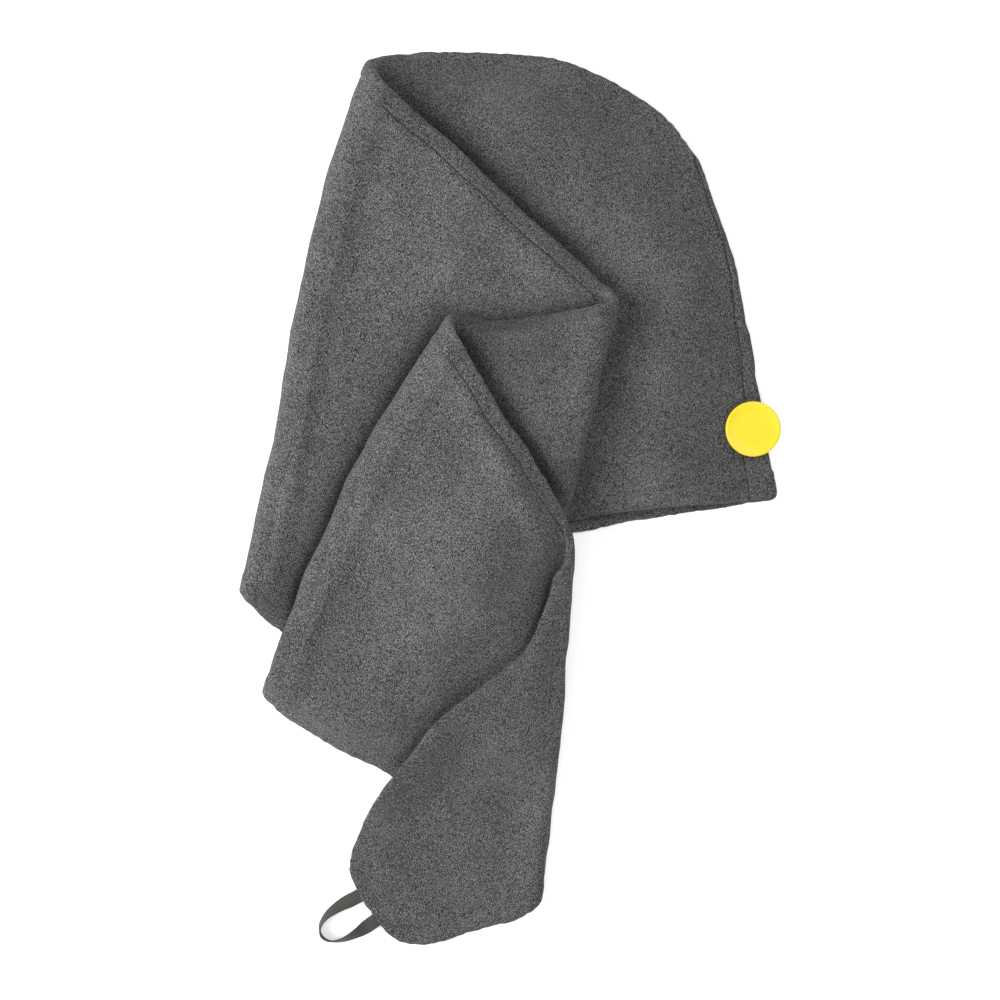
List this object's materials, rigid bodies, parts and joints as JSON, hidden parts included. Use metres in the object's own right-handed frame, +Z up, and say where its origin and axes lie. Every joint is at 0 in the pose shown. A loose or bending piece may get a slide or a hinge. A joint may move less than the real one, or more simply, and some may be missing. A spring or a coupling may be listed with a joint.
{
  "type": "hair turban towel",
  "caption": "Microfibre hair turban towel lying flat, with its long tail folded back and forth over the hood, a round button at the nape and a tape loop at the tip of the tail.",
  "frame": {"origin": "on the surface that the towel lies on, under the middle of its bounding box", "axes": "+Z up, +Y from the tip of the tail towards the crown of the hood, +X towards the nape and the button"},
  "size_m": [0.2732, 0.4542, 0.0499],
  "materials": {
    "towelling": "mid grey microfibre towelling with a short looped pile",
    "button": "bright yellow moulded plastic, glossy and smooth",
    "shank": "yellow moulded plastic",
    "tape": "dark grey woven tape, smooth"
  },
  "bodies": {
    "root": {"upper_half": "towelling", "lower_half": "towelling", "button_disc": "button", "button_shank": "shank", "hanging_loop": "tape"}
  },
  "joints": []
}
